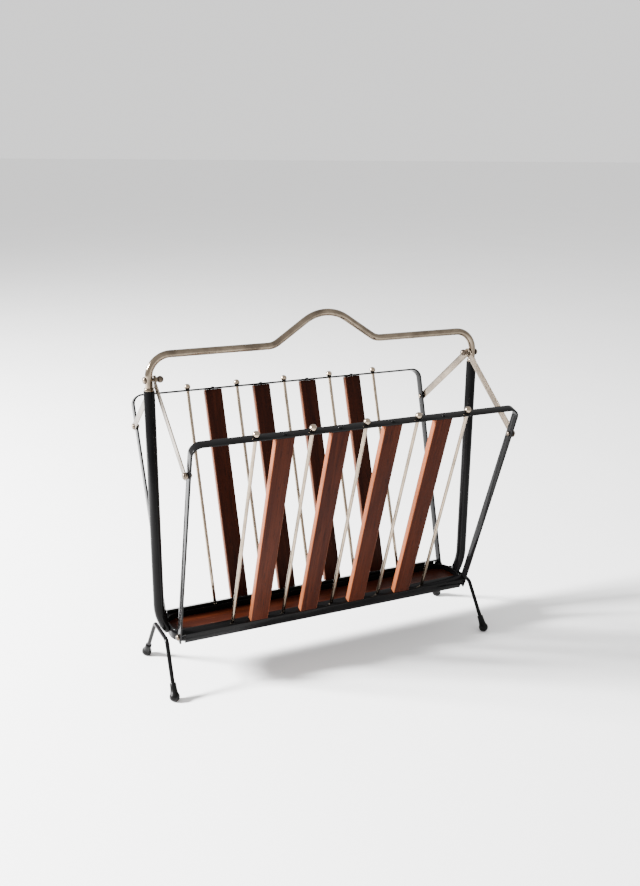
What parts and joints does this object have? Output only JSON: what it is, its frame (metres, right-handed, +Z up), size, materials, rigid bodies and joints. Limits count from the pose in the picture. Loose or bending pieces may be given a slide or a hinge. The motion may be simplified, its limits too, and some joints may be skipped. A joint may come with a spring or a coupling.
{
  "type": "folding magazine rack",
  "caption": "Folding magazine rack: slatted wooden and metal wings hinged to a narrow tray on splayed wire feet, hung by flat links from a carrying handle.",
  "frame": {"origin": "centre of the footprint, on the ground plane under the feet", "axes": "+X along the length of the tray, +Y to the back, +Z up"},
  "size_m": [0.4154, 0.2308, 0.411],
  "materials": {
    "black_lacquer": "satin gloss black lacquer",
    "plated_handle": "warm nickel plate, polished and lightly worn",
    "plated_rod": "warm nickel plate, polished",
    "plated_link": "warm nickel plate, dulled",
    "plated_fastener": "warm nickel plate, dulled",
    "wood": "reddish brown hardwood, oiled",
    "foot_rubber": "matt black rubber"
  },
  "bodies": {
    "root": {"left_post": "black_lacquer", "left_collar": "plated_handle", "left_floor_strap": "black_lacquer", "left_foot_wire": "black_lacquer", "left_front_foot_cap": "foot_rubber", "left_back_foot_cap": "foot_rubber", "right_post": "black_lacquer", "right_collar": "plated_handle", "right_floor_strap": "black_lacquer", "right_foot_wire": "black_lacquer", "right_front_foot_cap": "foot_rubber", "right_back_foot_cap": "foot_rubber", "tray_band": "black_lacquer", "tray_floor": "wood", "front_left_hinge_lug": "black_lacquer", "front_left_hinge_pin": "plated_fastener", "front_right_hinge_lug": "black_lacquer", "front_right_hinge_pin": "plated_fastener", "back_left_hinge_lug": "black_lacquer", "back_left_hinge_pin": "plated_fastener", "back_right_hinge_lug": "black_lacquer", "back_right_hinge_pin": "plated_fastener"},
    "handle": {"handle": "plated_handle", "left_pivot_bolt": "plated_fastener", "left_pivot_nut": "plated_fastener", "right_pivot_bolt": "plated_fastener", "right_pivot_nut": "plated_fastener"},
    "front_left_link": {"front_left_link": "plated_link"},
    "front_right_link": {"front_right_link": "plated_link"},
    "front_wing": {"front_wing_frame": "black_lacquer", "front_wing_rail": "black_lacquer", "front_rod_1": "plated_rod", "front_rod_2": "plated_rod", "front_rod_3": "plated_rod", "front_rod_4": "plated_rod", "front_rod_5": "plated_rod", "front_slat_1": "wood", "front_slat_2": "wood", "front_slat_3": "wood", "front_slat_4": "wood", "front_left_link_rivet": "plated_fastener", "front_left_spacer": "plated_fastener", "front_right_link_rivet": "plated_fastener", "front_right_spacer": "plated_fastener"},
    "back_left_link": {"back_left_link": "plated_link"},
    "back_right_link": {"back_right_link": "plated_link"},
    "back_wing": {"back_wing_frame": "black_lacquer", "back_wing_rail": "black_lacquer", "back_rod_1": "plated_rod", "back_rod_2": "plated_rod", "back_rod_3": "plated_rod", "back_rod_4": "plated_rod", "back_rod_5": "plated_rod", "back_slat_1": "wood", "back_slat_2": "wood", "back_slat_3": "wood", "back_slat_4": "wood", "back_left_link_rivet": "plated_fastener", "back_right_link_rivet": "plated_fastener"}
  },
  "joints": [
    {"name": "handle_lift", "type": "slide", "parent": "root", "child": "handle", "axis": [0, 0, 1], "range_m": [0, 0.04806]},
    {"name": "front_wing_fold", "type": "hinge", "parent": "root", "child": "front_wing", "pos_m": [0, -0.0281, 0.0601], "axis": [-1, 0, 0], "range_deg": [0, 12.51]},
    {"name": "back_wing_fold", "type": "hinge", "parent": "root", "child": "back_wing", "pos_m": [0, 0.0281, 0.0601], "axis": [1, 0, 0], "range_deg": [0, 12.51]},
    {"name": "front_left_link_swing", "type": "hinge", "parent": "handle", "child": "front_left_link", "pos_m": [-0.1946, 0, 0.348], "axis": [1, 0, 0], "range_deg": [0, 28.17]},
    {"name": "front_right_link_swing", "type": "hinge", "parent": "handle", "child": "front_right_link", "pos_m": [0.1946, 0, 0.348], "axis": [1, 0, 0], "range_deg": [0, 28.17]},
    {"name": "back_left_link_swing", "type": "hinge", "parent": "handle", "child": "back_left_link", "pos_m": [-0.1931, 0, 0.348], "axis": [-1, 0, 0], "range_deg": [0, 28.17]},
    {"name": "back_right_link_swing", "type": "hinge", "parent": "handle", "child": "back_right_link", "pos_m": [0.1931, 0, 0.348], "axis": [-1, 0, 0], "range_deg": [0, 28.17]}
  ],
  "couplings": [
    {"joint": "front_wing_fold", "follows": "handle_lift", "rad_per_m": 4.5393},
    {"joint": "back_wing_fold", "follows": "handle_lift", "rad_per_m": 4.5393},
    {"joint": "front_left_link_swing", "follows": "handle_lift", "rad_per_m": 10.225},
    {"joint": "front_right_link_swing", "follows": "handle_lift", "rad_per_m": 10.225},
    {"joint": "back_left_link_swing", "follows": "handle_lift", "rad_per_m": 10.225},
    {"joint": "back_right_link_swing", "follows": "handle_lift", "rad_per_m": 10.225}
  ]
}
